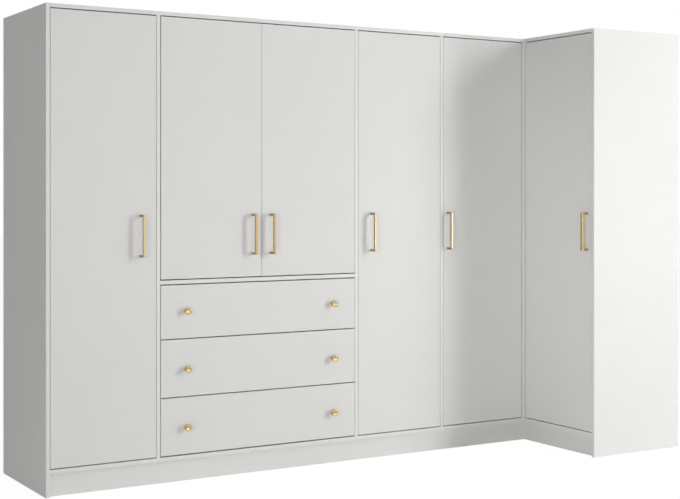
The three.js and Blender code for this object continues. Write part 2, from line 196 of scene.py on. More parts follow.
def pale_floor():
    half = FLOOR_SIZE / 2
    corners = [(-half, -half, 0), (half, -half, 0), (half, half, 0), (-half, half, 0)]
    floor = drawn("studio_floor", corners, faces=[(0, 1, 2, 3)])
    material = bpy.data.materials.new("pale_floor")
    tree = blank_tree(material)
    bounce = add_node(tree, "ShaderNodeBsdfDiffuse", {"Color": srgb(FLOOR_BOUNCE)})
    glow = add_node(tree, "ShaderNodeEmission", {"Color": WHITE, "Strength": FLOOR_SEEN})
    veil = (*3 * [FLOOR_SHADOW_SHARE], 1.0)
    shade = add_node(tree, "ShaderNodeBsdfDiffuse", {"Color": veil})
    seen = add_node(tree, "ShaderNodeAddShader", {0: glow, 1: shade})
    end_tree(tree, "ShaderNodeOutputMaterial", bounce, seen)
    floor.data.materials.append(material)


studio_world()
softbox("front_key", 91.5, (1.0, 3.2), (4.22, -4.19, 1.6), (0.2, -0.1, 1.6))
softbox("side_key", 22.0, (1.0, 3.2), (4.92, -3.42, 1.6), (0.2, -0.1, 1.6))
softbox("high_key", 76.0, (1.4, 1.4), (4.59, -3.82, 4.0), (0.2, -0.1, 0.9))
softbox("far_key", 64.0, (0.8, 4.4), (8.39, -3.21, 2.2), (0.2, -0.1, 2.2))
softbox("glint", 28.0, (1.0, 0.7), (3.6, -4.6, 0.78), (0.2, -0.1, 0.9), mirrored=True)
softbox("strip", 8.0, (0.4, 1.4), (0.93, -4.24, 0.8), (-0.99, -0.06, 1.0), mirrored=True)
softbox("low_fill", 11.0, (1.5, 0.5), (-0.9, -3.2, 0.3), (0.6, -0.2, 0.9))
softbox("left_fill", 72.0, (2.0, 2.0), (-5.5, -4.5, 1.5), (0.2, -0.1, 0.9))
softbox("return_fill", 0.61, (0.6, 1.6), (-2.5, -2.2, 1.2), (0.87, -0.4, 0.9), spread=30.0)
softbox("top_fill", 47.0, (4.0, 2.0), (0.0, -2.5, 7.0), (0.0, -0.1, 0.9))
softbox("rear_fill", 16.0, (3.0, 2.0), (0.0, 6.5, 2.2), (0.0, 0.4, 0.9), spread=45.0)
softbox("rear_side_fill", 11.0, (1.6, 2.0), (5.8, 3.4, 2.0), (1.36, 0.1, 0.9), spread=40.0)
pale_floor()
print("softboxes:", [(lamp.name, round(lamp.energy, 1), "W") for lamp in bpy.data.lights])

# %% [markdown]
# ## White boards
#
# Melamine-faced chipboard is a sheet of resin-soaked paper pressed on chips and glue. The eye sees a
# warm white satin with a pearl emboss finer than a millimetre, here drawn at 1.2 mm so that it still
# breaks up a highlight. The edges carry strips of ABS, a little smoother and brighter than the face,
# and where no strip is glued on, as at the back, the raw chips show.

# %% Melamine, edging and raw chipboard
CLOUD = 140 * MM
CHIP = 3.5 * MM


def new_finish(name, values):
    """A material with one Principled shader. What is the same all over goes on its own sockets."""
    material = bpy.data.materials.new(name)
    material.use_nodes = True
    tree = material.node_tree
    feed(tree, tree.nodes["Principled BSDF"], values)
    return material, tree, add_node(tree, "ShaderNodeTexCoord").outputs["Object"]


def dress(material, pale, deep, tone, height, strength, relief, rough=None):
    """Two colours mixed by a tone, a relief from a height, and a roughness that wanders."""
    tree = material.node_tree
    ends = {"Color1": srgb(pale), "Color2": srgb(deep)}
    tint = add_node(tree, "ShaderNodeMixRGB", {"Fac": tone, **ends})
    rise = {"Strength": strength, "Distance": relief, "Height": height}
    looks = {"Base Color": tint, "Normal": add_node(tree, "ShaderNodeBump", rise)}
    if rough:
        middle, wander = rough
        ends = {"To Min": middle - wander, "To Max": middle + wander}
        looks["Roughness"] = add_node(tree, "ShaderNodeMapRange", {"Value": tone, **ends})
    feed(tree, tree.nodes["Principled BSDF"], looks)
    return material


def melamine(name, pale, deep, roughness, grain, relief):
    """Satin board: a cloudy white, a roughness that wanders, and a fine embossed pearl."""
    material, tree, place = new_finish(name, {"IOR": 1.5})
    cloud = add_node(tree, "ShaderNodeTexNoise", {"Vector": place, "Scale": 1 / CLOUD, "Detail": 3.0})
    pearl = add_node(tree, "ShaderNodeTexNoise", {"Vector": place, "Scale": 1 / grain, "Detail": 2.0})
    return dress(material, pale, deep, cloud, pearl, 0.25, relief, (roughness, 0.05))


def raw_chipboard():
    """Sawn edge of chipboard: flakes of a few millimetres in several browns, matt and open."""
    material, tree, place = new_finish("raw_chipboard", {"Roughness": 0.9})
    flakes = {"Vector": place, "Scale": 1 / CHIP, "Randomness": 1.0}
    flakes = add_node(tree, "ShaderNodeTexVoronoi", flakes).outputs
    tone = add_node(tree, "ShaderNodeSeparateColor", {"Color": flakes["Color"]})
    return dress(material, "#C9AC7E", "#8E6E47", tone, flakes["Distance"], 0.6, 0.4 * MM)


WHITE_MELAMINE = melamine("white_melamine", "#F1F1EF", "#EEEEEC", 0.42, 1.2 * MM, 0.05 * MM)
WHITE_EDGING = melamine("white_abs_edging", "#F4F4F2", "#F1F1EF", 0.34, 2.5 * MM, 0.03 * MM)
RAW_CHIPBOARD = raw_chipboard()
DRAWER_MELAMINE = melamine("drawer_melamine", "#ECEAE5", "#E6E4DE", 0.5, 1.6 * MM, 0.08 * MM)
BOARD_FINISHES = [WHITE_MELAMINE, WHITE_EDGING, RAW_CHIPBOARD]
FACE, EDGING, RAW = range(3)
print("board finishes:", [finish.name for finish in BOARD_FINISHES])

# %% [markdown]
# ## Metals
#
# The pulls are solid brass, brushed along their length and lacquered: a muted gold with fine streaks
# that blur a reflection across the bar, and a clear coat whose highlight stays white. The knobs are
# turned, so their marks run round the axis and follow a UV map. Hinges are nickel plated, warm and
# fairly bright. Rails are chrome plated, colder and nearly a mirror. Runners and screws are zinc
# plated, with a dull bluish bloom. Each keeps the default IOR and only its colour, its roughness,
# its marks and its lacquer differ.

# %% Brass, nickel, chrome and zinc
ALONG_BAR = (1.0, 1.0, 0.02)  # the marks are fifty times longer up the bar than across it
ROUND_AXIS = (0.02, 1.0, 1.0)
EVEN = (1.0, 1.0, 1.0)


def metal(name, pale, deep, rough, mark, relief, stretch=EVEN, lacquer=0.0, on_uv=False):
    """A metal whose marks are noise of a real size, stretched along one way."""
    values = {"Metallic": 1.0, "Coat Weight": lacquer, "Coat Roughness": 0.12}
    material, tree, place = new_finish(name, values)
    if on_uv:
        place = add_node(tree, "ShaderNodeUVMap", uv_map="turning")
    streaks = add_node(tree, "ShaderNodeMapping", {"Vector": place, "Scale": stretch})
    marks = {"Vector": streaks, "Scale": 1 / mark, "Detail": 4.0, "Roughness": 0.6}
    marks = add_node(tree, "ShaderNodeTexNoise", marks)
    return dress(material, pale, deep, marks, marks, 0.3, relief, rough)


BRUSHED_BRASS = metal(
    "brushed_brass", "#B99E67", "#A88D53", (0.42, 0.05), 0.5 * MM, 0.02 * MM, ALONG_BAR, 1.0
)
TURNED_BRASS = metal(
    "turned_brass", "#C6AB7C", "#B4975F", (0.18, 0.04), 0.4 * MM, 0.02 * MM, ROUND_AXIS, 1.0, True
)
NICKEL = metal("nickel_plated_steel", "#CFCBC2", "#BDB9B0", (0.28, 0.05), 1.5 * MM, 0.01 * MM)
CHROME = metal("chrome_plated_steel", "#DCDEE0", "#D2D5D8", (0.08, 0.03), 4 * MM, 0.004 * MM)
ZINC = metal("zinc_plated_steel", "#C2C7CB", "#A9AFB4", (0.42, 0.08), 3 * MM, 0.02 * MM)
print("metals:", [made.name for made in (BRUSHED_BRASS, TURNED_BRASS, NICKEL, CHROME, ZINC)])

# %% [markdown]
# ## Backs and small plastics
#
# The backs are hardboard: wood fibre pressed against a wire screen. The inner side has a thin white
# lacquer, the wall side is bare brown fibre with the print of the screen, a little over a millimetre
# from wire to wire. Caps over the fittings are moulded nylon, slightly translucent and matt.

# %% Hardboard and nylon
FIBRE = 6 * MM
SCREEN = 2.4 * MM  # twice as coarse as the real one, so that it shows
MOULD_GRAIN = 0.6 * MM


def hardboard_rear():
    """Bare fibre with the print of the screen it was pressed on."""
    material, tree, place = new_finish("hardboard_fibre", {"Roughness": 0.85})
    fibre = add_node(tree, "ShaderNodeTexNoise", {"Vector": place, "Scale": 1 / FIBRE, "Detail": 6.0})
    wires = {"Vector": place, "Scale": 1 / SCREEN, "Randomness": 0.15}
    wires = add_node(tree, "ShaderNodeTexVoronoi", wires, distance="CHEBYCHEV").outputs["Distance"]
    return dress(material, "#6A5039", "#8A6F52", fibre, wires, 0.5, 0.2 * MM)


def white_nylon():
    """Injection-moulded nylon: milky, matt, with the faint spark-eroded grain of its mould."""
    values = {"IOR": 1.53, "Roughness": 0.5, "Subsurface Weight": 0.1}
    material, tree, place = new_finish("white_nylon", values)
    grain = add_node(tree, "ShaderNodeTexNoise", {"Vector": place, "Scale": 1 / MOULD_GRAIN})
    return dress(material, "#F3F2EE", "#EBEAE5", grain, grain, 0.3, 0.03 * MM)


HARDBOARD_WHITE = melamine("lacquered_hardboard", "#EFEEEA", "#EAE9E4", 0.55, 3 * MM, 0.06 * MM)
HARDBOARD_FIBRE = hardboard_rear()
WHITE_NYLON = white_nylon()
print("other finishes:", HARDBOARD_WHITE.name, HARDBOARD_FIBRE.name, WHITE_NYLON.name)

# %% [markdown]
# ## Mesh tools
#
# Everything starts as an exact shape in a bmesh: boxes, outlines pushed along an axis, and profiles
# turned about one. A matrix says where the axis is. A piece becomes an object once, at the end, where
# a Bevel modifier takes the sharpness off its arrises and hardens the normals, so that a wide face
# stays flat under a highlight. The modifier is applied at once, because every piece has to be a plain
# mesh at the origin with its place in its vertices.

# %% Boxes, prisms and turned shapes
# An outline for X is drawn in (y, z), for Y in (z, x) and for Z in (x, y)
ALONG_X = Matrix(((0, 0, 1), (1, 0, 0), (0, 1, 0))).to_4x4()
ALONG_Y = Matrix(((0, 1, 0), (0, 0, 1), (1, 0, 0))).to_4x4()
ALONG_Z = Matrix.Identity(4)


def painted(faces, finish):
    """Gives faces one of the finishes of their piece, by its number."""
    for face in faces:
        face.material_index = finish
    return faces


def add_box(mesh, low, high, finish=0):
    """Adds a box between two corners and returns its faces."""
    verts = bmesh.ops.create_cube(mesh, size=1.0)["verts"]
    for vert in verts:
        vert.co = Vector(a + (b - a) * (c + 0.5) for a, b, c in zip(low, high, vert.co))
    return painted({face for vert in verts for face in vert.link_faces}, finish)


def add_prism(mesh, outline, start, end, place=ALONG_Z, finish=0):
    """Adds a flat outline pushed along an axis from one plane to another."""
    rings = []
    for plane in (start, end):
        rings.append([mesh.verts.new(place @ Vector((a, b, plane))) for a, b in outline])
    faces = [mesh.faces.new(reversed(rings[0])), mesh.faces.new(rings[1])]
    for i in range(len(outline)):
        j = (i + 1) % len(outline)
        faces.append(mesh.faces.new((rings[0][i], rings[0][j], rings[1][j], rings[1][i])))
    painted(faces, finish)


def add_turned(mesh, profile, steps=48, place=ALONG_Z, finish=0):
    """Adds a profile of (radius, height) points spun about an axis."""
    rings = []
    for radius, height in profile:
        angles = [2 * math.pi * i / steps for i in range(1 if radius == 0 else steps)]
        ring = [Vector((radius * math.cos(a), radius * math.sin(a), height)) for a in angles]
        rings.append([mesh.verts.new(place @ spot) for spot in ring])
    faces = []
    for lower, upper in zip(rings, rings[1:]):
        for i in range(steps):
            j = (i + 1) % steps
            corners = [lower[i % len(lower)], lower[j % len(lower)]]
            corners += [upper[j % len(upper)], upper[i % len(upper)]]
            faces.append(mesh.faces.new(list(dict.fromkeys(corners))))
    for face in painted(faces, finish):
        face.smooth = True


def turn_corner(start, middle, end, steps, first=0):
    """Points of a curve from one point to another, drawn towards the middle one."""
    points = []
    for step in range(first, steps + 1):
        t = step / steps
        points.append(start * (1 - t) ** 2 + middle * 2 * t * (1 - t) + end * t**2)
    return points


def rounded(corners, steps=5, lead=0.0):
    """An outline through corners (a, b, radius), each rounded one drawn in a few steps.

    A lead puts one more point that far before and after each round, which keeps the shading of the
    flat between two rounds as flat as a mirror.
    """
    points = []
    for i, (a, b, *radius) in enumerate(corners):
        here = Vector((a, b))
        if not radius:
            points.append(here)
            continue
        before = (Vector(corners[i - 1][:2]) - here).normalized()
        after = (Vector(corners[(i + 1) % len(corners)][:2]) - here).normalized()
        entry, leave = here + before * radius[0], here + after * radius[0]
        curve = turn_corner(entry, here, leave, steps)
        if lead:
            curve = [entry + before * lead, *curve, leave + after * lead]
        points += curve
    return points


def slot_outline(long, wide, steps=10):
    """A slot round the origin, its long way along the first axis."""
    radius = wide / 2
    half = long / 2 - radius
    points = []
    for centre, first in ((half, -90), (-half, 90)):
        for step in range(steps + 1):
            angle = math.radians(first + 180 * step / steps)
            points.append((centre + radius * math.cos(angle), radius * math.sin(angle)))
    return points


print("shapes: box, prism, turned profile, rounded outline and slot")

# %% Objects and finished pieces
ARRIS = 0.35 * MM
SHARP = math.radians(35)


def plain_mesh(obj):
    """Turns what the object's modifiers make into its own mesh."""
    bpy.context.view_layer.update()
    graph = bpy.context.evaluated_depsgraph_get()
    made = bpy.data.meshes.new_from_object(obj.evaluated_get(graph))
    obj.modifiers.clear()
    before, obj.data = obj.data, made
    bpy.data.meshes.remove(before)
    made.name = obj.name
    return obj


def new_object(name, mesh, finishes=()):
    """An object at the origin from a bmesh, its faces turned outwards."""
    bmesh.ops.recalc_face_normals(mesh, faces=mesh.faces)
    data = bpy.data.meshes.new(name)
    mesh.to_mesh(data)
    mesh.free()
    for finish in finishes:
        data.materials.append(finish)
    return add_object(name, data)


def taken(obj):
    """The mesh of a passing object as a bmesh. The object goes."""
    mesh = bmesh.new()
    mesh.from_mesh(obj.data)
    bpy.data.objects.remove(obj)
    return mesh


def append_mesh(mesh, part):
    """Adds one bmesh to another."""
    passing = bpy.data.meshes.new("passing")
    part.to_mesh(passing)
    part.free()
    mesh.from_mesh(passing)
    bpy.data.meshes.remove(passing)


def cut_away(mesh, tool):
    """The first bmesh less the second, by a Boolean modifier on two passing objects."""
    stock, cutter = new_object("stock", mesh), new_object("cutter", tool)
    cut = stock.modifiers.new("cut", "BOOLEAN")
    cut.operation = "DIFFERENCE"
    cut.solver = "EXACT"
    cut.object = cutter
    plain_mesh(stock)
    bpy.data.objects.remove(cutter)
    return taken(stock)


def hand_over(obj, body, replaces=()):
    """Says on which body a piece rides, and for what nodes it stands."""
    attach(obj, body)
    if replaces:
        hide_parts(*replaces)


def piece(name, mesh, finishes, body, replaces=(), arris=ARRIS, steps=2):
    """A finished piece on its body: its sharp edges softened, its curves smooth."""
    obj = new_object(name, mesh, finishes)
    soften = obj.modifiers.new("arris", "BEVEL")
    soften.width = arris
    soften.segments = steps
    soften.limit_method = "ANGLE"
    soften.angle_limit = SHARP
    soften.harden_normals = True
    for face in obj.data.polygons:
        face.use_smooth = True
    hand_over(plain_mesh(obj), body, replaces)


print("a softened arris is", ARRIS / MM, "mm wide")

# %% [markdown]
# ## Boards with edging
#
# A board is one box in the frame. Here it is built as in the workshop: one millimetre of edging on
# each side that shows, and the core between. The two are separate closed solids that touch, so the
# softened arrises leave a hairline between them, as a glue line does. Sides are named by the way
# they face, and a side that is listed as raw shows the chips.

# %% Board maker
BAND = 1.0 * MM
BOARD = 15 * MM
ALL_ROUND = "-x +x -z +z"
PLAIN_BOARDS = {
    # the sides with edging, and the raw ones
    "left_side_panel": ("-y +z -z", "+y"),
    "end_panel": (ALL_ROUND, ""),
    "main_top": ("-y", "+y -x +x"),
    "return_top": ("-x", "+x -y +y"),
    "main_bottom": ("-y", "+y -x +x"),
    "return_bottom": ("-x", "+x -y +y"),
    "drawer_shelf": ("-y", "+y -x +x"),
    "main_plinth": ("-z", "+z -x +x"),
    "return_plinth": ("-z", "+z -y +y"),
    "main_rear_plinth": ("", "+z -z -x +x"),
    "return_rear_plinth": ("", "+z -z -y +y"),
    "right_lower_shelf": ("-y -x +x", "+y"),
    "right_upper_shelf": ("-y -x +x", "+y"),
}


def add_bands(mesh, low, high, banded):
    """Adds the edging of a board and returns the corners of the core that is left."""
    low, high = Vector(low), Vector(high)
    for side in banded.split():
        axis = "xyz".index(side[1])
        band_low, band_high = low.copy(), high.copy()
        if side[0] == "-":
            low[axis] += BAND
            band_high[axis] = low[axis]
        else:
            high[axis] -= BAND
            band_low[axis] = high[axis]
        add_box(mesh, band_low, band_high, EDGING)
    return low, high


def add_board(mesh, low, high, banded="", raw=""):
    """Adds a board: its bands, and its core with raw chips on the sides that have none."""
    for face in add_box(mesh, *add_bands(mesh, low, high, banded), FACE):
        face.normal_update()
        axis = max(range(3), key=lambda i: abs(face.normal[i]))
        side = ("-" if face.normal[axis] < 0 else "+") + "xyz"[axis]
        if side in raw.split():
            face.material_index = RAW


def board_piece(node, mesh, body="carcass"):
    """A finished board in place of its CAD node."""
    piece(node + "_board", mesh, BOARD_FINISHES, body, [node])


for node, (banded, raw) in PLAIN_BOARDS.items():
    mesh = bmesh.new()
    add_board(mesh, *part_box(node), banded, raw)
    board_piece(node, mesh)
print("boards made:", len(PLAIN_BOARDS))

# %% [markdown]
# ## Shaped boards
#
# The corner post is two strips glued in an L, and the hat shelf is an L with a notch round it. Their
# outlines are not boxes, so they start from a copy of the frame's own mesh. That mesh is loose
# triangles: a copy is merged and its flat faces are made whole before the arrises are softened.

# %% Corner post and hat shelf
SHAPED_BOARDS = ("corner_post", "corner_hat_shelf")


def frame_copy(node):
    """A bmesh of a CAD node with its triangles merged into whole faces."""
    mesh = bmesh.new()
    mesh.from_mesh(nodes[node].data)
    bmesh.ops.remove_doubles(mesh, verts=mesh.verts, dist=0.01 * MM)
    flat = math.radians(1)
    bmesh.ops.dissolve_limit(mesh, angle_limit=flat, verts=mesh.verts, edges=mesh.edges)
    return mesh


for node in SHAPED_BOARDS:
    board_piece(node, frame_copy(node))
print("shaped boards:", SHAPED_BOARDS)

# %% [markdown]
# ## Geometry Nodes for what repeats
#
# Screws, caps, pins and nails repeat by the dozen. Each kind is modelled once as a stamp, and a node
# tree sets the stamp on points. A point carries the way it faces in an attribute. A random turn about
# that axis, from a fixed seed, keeps the slots of the screws from lining up, as they never do. The
# tree ends by making the copies real and giving them their finish, and the result is one plain mesh.


# %% Trees, and the one that sets stamps on points
def new_tree(name, inputs):
    """A Geometry Nodes tree with named inputs. Returns it with its two end nodes."""
    tree = bpy.data.node_groups.new(name, "GeometryNodeTree")
    inputs = {"Geometry": "Geometry", **inputs}
    for label, kind in inputs.items():
        tree.interface.new_socket(label, in_out="INPUT", socket_type="NodeSocket" + kind)
    tree.interface.new_socket("Geometry", in_out="OUTPUT", socket_type="NodeSocketGeometry")
    return tree, tree.nodes.new("NodeGroupInput").outputs, tree.nodes.new("NodeGroupOutput")


def grow(obj, tree, inputs):
    """Runs a tree on an object with values for its named inputs, and keeps the plain result."""
    modifier = obj.modifiers.new(tree.name, "NODES")
    modifier.node_group = tree
    for socket in tree.interface.items_tree:
        if socket.in_out == "INPUT" and socket.name in inputs:
            modifier[socket.identifier] = inputs[socket.name]
    return plain_mesh(obj)


def end_in_copies(tree, result, finish, copies):
    """Ends a tree: copies on points, made real and given their finish."""
    copies = add_node(tree, "GeometryNodeInstanceOnPoints", copies)
    real = add_node(tree, "GeometryNodeRealizeInstances", {"Geometry": copies})
    dressed = add_node(tree, "GeometryNodeSetMaterial", {"Geometry": real, "Material": finish})
    feed(tree, result, {"Geometry": dressed})


def stamping_tree():
    inputs = {"Stamp": "Object", "Scale": "Float", "Seed": "Int", "Finish": "Material"}
    tree, given, result = new_tree("stamps_on_points", inputs)
    stamp = add_node(tree, "GeometryNodeObjectInfo", {"Object": given["Stamp"]}).outputs["Geometry"]
    way = {"Name": "facing"}
    way = add_node(tree, "GeometryNodeInputNamedAttribute", way, data_type="FLOAT_VECTOR")
    aim = {"Vector": way.outputs["Attribute"]}
    aim = add_node(tree, "FunctionNodeAlignRotationToVector", aim, axis="Z")
    turn = {2: 0.0, 3: 2 * math.pi, "Seed": given["Seed"]}
    turn = add_node(tree, "FunctionNodeRandomValue", turn, data_type="FLOAT").outputs[1]
    spin = {"Axis": (0.0, 0.0, 1.0), "Angle": turn}
    spin = add_node(tree, "FunctionNodeAxisAngleToRotation", spin)
    pose = {"Rotation": aim, "Rotate By": spin}
    pose = add_node(tree, "FunctionNodeRotateRotation", pose, rotation_space="LOCAL")
    copies = {"Points": given["Geometry"], "Instance": stamp, "Rotation": pose}
    end_in_copies(tree, result, given["Finish"], {**copies, "Scale": given["Scale"]})
    return tree


STAMPING = stamping_tree()


def stamped(name, stamp, spots, finish, body, scale=1.0, seed=1, place=ALONG_Z):
    """One piece of many stamps, from spots given as (point, facing) and moved to their place."""
    obj = drawn(name, [place @ Vector(point) for point, _ in spots])
    facing = obj.data.attributes.new("facing", "FLOAT_VECTOR", "POINT")
    for item, (_, way) in zip(facing.data, spots):
        item.vector = (place.to_3x3() @ Vector(way)).normalized()
    grow(obj, STAMPING, {"Stamp": stamp, "Scale": scale, "Seed": seed, "Finish": finish})
    hand_over(obj, body)


print("tree:", STAMPING.name, "with", len(STAMPING.nodes), "nodes")

# %% [markdown]
# ## The stamps
#
# A stamp stands on the XY plane at the origin and faces +Z. Each is turned: a profile of a few points
# spun about Z. The cross in a screw head is cut with a Boolean modifier, because a screw without its
# recess reads as a rivet. A stamp is only a pattern, so it is deleted before the end.

# %% Turned stamps
NAIL_HEAD = 0.5


def turned_bmesh(profile, steps):
    """A bmesh of a profile in millimetres."""
    mesh = bmesh.new()
    add_turned(mesh, [(radius * MM, height * MM) for radius, height in profile], steps)
    return mesh


def screw_stamp(name, radius, height, steps=16):
    """A domed head with a cross recess."""
    dome = [(0, 0), (radius, 0), (radius, height * 0.35), (radius * 0.8, height * 0.8), (0, height)]
    arm, blade, floor = radius * MM * 0.6, radius * MM * 0.14, height * MM * 0.25
    outline, quarter = [], [(arm, -blade), (arm, blade), (blade, blade)]
    for _ in range(4):
        outline += quarter
        quarter = [(-y, x) for x, y in quarter]
    cross = bmesh.new()
    add_prism(cross, outline, floor, 2 * height * MM)
    return new_object(name, cut_away(turned_bmesh(dome, steps), cross))


nail = [(0, 0), (2.5, 0), (2, 0.4), (0, NAIL_HEAD)]
cap = [(0, 0), (8.5, 0), (8, 0.8), (5, 1.3), (0, 1.4)]
pin = [(0, 0), (3.5, 0), (3.5, 1.2), (2.4, 1.2), (2.4, 7), (1.8, 7.8), (0, 8)]
SCREW = screw_stamp("screw_stamp", 4, 2.2)
NAIL = new_object("nail_stamp", turned_bmesh(nail, 10))
CAM_CAP = new_object("cam_cap_stamp", turned_bmesh(cap, 20))
SHELF_PIN = new_object("shelf_pin_stamp", turned_bmesh(pin, 14))
STAMPS = [SCREW, NAIL, CAM_CAP, SHELF_PIN]


def screws(name, spots, body, seed, scale=1.0, place=ALONG_Z):
    """One piece of zinc plated screws, turned at random from a seed."""
    stamped(name, SCREW, spots, ZINC, body, scale, seed, place)


print("stamps:", [(stamp.name, len(stamp.data.polygons)) for stamp in STAMPS])

# %% [markdown]
# ## Doors
#
# A door is drawn in its own plane: u runs from the upright that carries it to its free edge, v from
# its front face inwards, and z is the height. A matrix takes that drawing to its place. Two doors open
# to the left as drawn, three are mirrored, and the one in the return is turned a quarter. Each board
# has edging on all four sides and two blind holes for its hinge cups, which show once it opens.
#
# In the picture no two gaps are alike, as with any doors that are set by hand. So each board gets a
# millimetre or so more or less at its hinge side and at its free edge than the even frame has.

# %% Door boards
SIDE_GAP = 3 * MM
HINGE_INSET = 100 * MM
CUP_RADIUS = 16.5 * MM
CUP_FLOOR = 4 * MM
CUP_MARGIN = 5 * MM
CUP_U = SIDE_GAP + CUP_MARGIN + CUP_RADIUS
DOORS = {
    # the side it hangs on, and millimetres more at the hinge side and at the free edge
    "door_1": ("left", 1.2, 0.8),
    "door_2": ("left", -0.8, 0.6),
    "door_3": ("right", 1.4, 0.6),
    "door_4": ("right", 1.2, 1.4),
    "door_5": ("right", -0.9, 1.2),
    "door_6": ("return", -1.4, 1.4),
}


def door_place(node):
    """The matrix from a door's own plane to the room."""
    low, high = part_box(node)
    side = DOORS[node][0]
    if side == "left":
        turn, origin = Matrix.Identity(4), (low.x - SIDE_GAP, low.y, 0)
    elif side == "right":
        turn, origin = Matrix.Diagonal((-1, 1, 1, 1)), (high.x + SIDE_GAP, low.y, 0)
    else:
        turn, origin = Matrix.Rotation(math.radians(-90), 4, "Z"), (low.x, high.y + SIDE_GAP, 0)
    return Matrix.Translation(origin) @ turn


def hinges(node):
    """The height of each hinge of a door, with the matrix of its cup's axis."""
    low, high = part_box(node)
    heights = (low.z + HINGE_INSET, high.z - HINGE_INSET)
    return [(z, Matrix.Translation((CUP_U, 0, z)) @ ALONG_Y) for z in heights]


def door_board(node):
    low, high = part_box(node)
    side, at_hinge, at_free = DOORS[node]
    width = high.y - low.y if side == "return" else high.x - low.x
    corner = (SIDE_GAP - at_hinge * MM, 0, low.z)
    far = (SIDE_GAP + width + at_free * MM, BOARD, high.z)
    bands, core, holes = bmesh.new(), bmesh.new(), bmesh.new()
    add_box(core, *add_bands(bands, corner, far, ALL_ROUND), FACE)
    bore = [(0, CUP_FLOOR), (CUP_RADIUS, CUP_FLOOR), (CUP_RADIUS, 2 * BOARD), (0, 2 * BOARD)]
    for _, axis in hinges(node):
        add_turned(holes, bore, place=axis, finish=RAW)
    mesh = cut_away(core, holes)
    append_mesh(mesh, bands)
    mesh.transform(door_place(node))
    board_piece(node, mesh, node + "_leaf")


for node in DOORS:
    door_board(node)
print("doors:", len(DOORS))

# %% [markdown]
# ## Handles
#
# A square bar pull is one bar with its ends bent back to the door. Its outline, a U seen from the
# side, is pushed through the bar's width, and a bevel of almost a millimetre gives the long soft
# arrises that catch the light. Two screws from inside the door hold it.

# %% Bar handles and their screws
HANDLE_LONG = 161 * MM
HANDLE_THICK = 9 * MM
HANDLE_REACH = 35 * MM
HANDLE_CORNER = 3 * MM
HANDLE_ARRIS = 0.9 * MM
INWARD = (0, 1, 0)
BOTH_WAYS = (-1, 1)


def handle_piece(node):
    place = door_place(node)
    low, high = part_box(node + "_handle")
    u, v, z = place.inverted() @ ((low + high) / 2)
    half, inside = HANDLE_LONG / 2, HANDLE_LONG / 2 - HANDLE_THICK
    back, front = v + HANDLE_REACH / 2, v - HANDLE_REACH / 2
    bar_back = front + HANDLE_THICK
    corners = [
        (back, z - half),
        (front, z - half, HANDLE_CORNER),
        (front, z + half, HANDLE_CORNER),
        (back, z + half),
        (back, z + inside),
        (bar_back, z + inside, HANDLE_CORNER),
        (bar_back, z - inside, HANDLE_CORNER),
        (back, z - inside),
    ]
    mesh = bmesh.new()
    width = HANDLE_THICK / 2
    add_prism(mesh, rounded(corners, lead=HANDLE_CORNER / 2), u - width, u + width, ALONG_X)
    mesh.transform(place)
    body, stands_for = node + "_leaf", [node + "_handle"]
    piece(node + "_bar_handle", mesh, [BRUSHED_BRASS], body, stands_for, HANDLE_ARRIS, 3)
    leg = half - HANDLE_THICK / 2
    spots = [((u, BOARD, z + way * leg), INWARD) for way in BOTH_WAYS]
    screws(node + "_handle_screws", spots, body, seed=3, place=place)


for node in DOORS:
    handle_piece(node)
print("handles:", HANDLE_LONG / MM, "mm long, screws", (HANDLE_LONG - HANDLE_THICK) / MM, "mm apart")

# %% [markdown]
# ## Concealed hinges
#
# Each hinge has two halves. The cup is pressed steel let into the door, with an ear above and below
# for its screws. The arm is a folded channel on a winged plate, which two screws hold to the upright.
# Two more screws in the arm set the door's gap and depth. Both halves are drawn once in the door's
# plane and moved to each height.

# %% Hinge cups
CUP_WALL = 0.8 * MM
CUP_FLANGE = 1.2 * MM
FLANGE_RADIUS = 19 * MM
EAR_LONG = 62 * MM
EAR_WIDE = 16 * MM
EAR_SCREW = EAR_LONG / 2 - 6.5 * MM
FIT = 0.1 * MM
SEAT = BOARD + 0.02 * MM
RIM = BOARD + CUP_FLANGE


def add_cup(mesh, z, axis):
    """Flange with ears, cut open, and the wall and floor of the cup below it."""
    flange, hole = bmesh.new(), bmesh.new()
    wing = [(x + z, y + CUP_U) for x, y in slot_outline(EAR_LONG, EAR_WIDE)]
    add_prism(flange, wing, SEAT, RIM, ALONG_Y)
    opening = FLANGE_RADIUS - MM
    add_turned(hole, [(0, 0), (opening, 0), (opening, 1), (0, 1)], place=axis)
    append_mesh(mesh, cut_away(flange, hole))
    outer, floor = CUP_RADIUS - FIT, CUP_FLOOR + FIT
    inner, pan_floor = outer - CUP_WALL, floor + CUP_WALL
    pan = [
        (0, floor),
        (outer - MM, floor),
        (outer, floor + MM),
        (outer, SEAT),
        (FLANGE_RADIUS, SEAT),
        (FLANGE_RADIUS, RIM),
        (inner, RIM),
        (inner, pan_floor + MM),
        (inner - MM, pan_floor),
        (0, pan_floor),
    ]
    add_turned(mesh, pan, place=axis)


def hinge_cups(node):
    place, body = door_place(node), node + "_leaf"
    mesh = bmesh.new()
    spots = []
    for z, axis in hinges(node):
        add_cup(mesh, z, axis)
        spots += [((CUP_U, RIM, z + way * EAR_SCREW), INWARD) for way in BOTH_WAYS]
    mesh.transform(place)
    piece(node + "_hinge_cups", mesh, [NICKEL], body, arris=0.15 * MM, steps=1)
    screws(node + "_cup_screws", spots, body, 5, 0.8, place)


for node in DOORS:
    hinge_cups(node)
print("hinge cups:", 2 * len(DOORS))

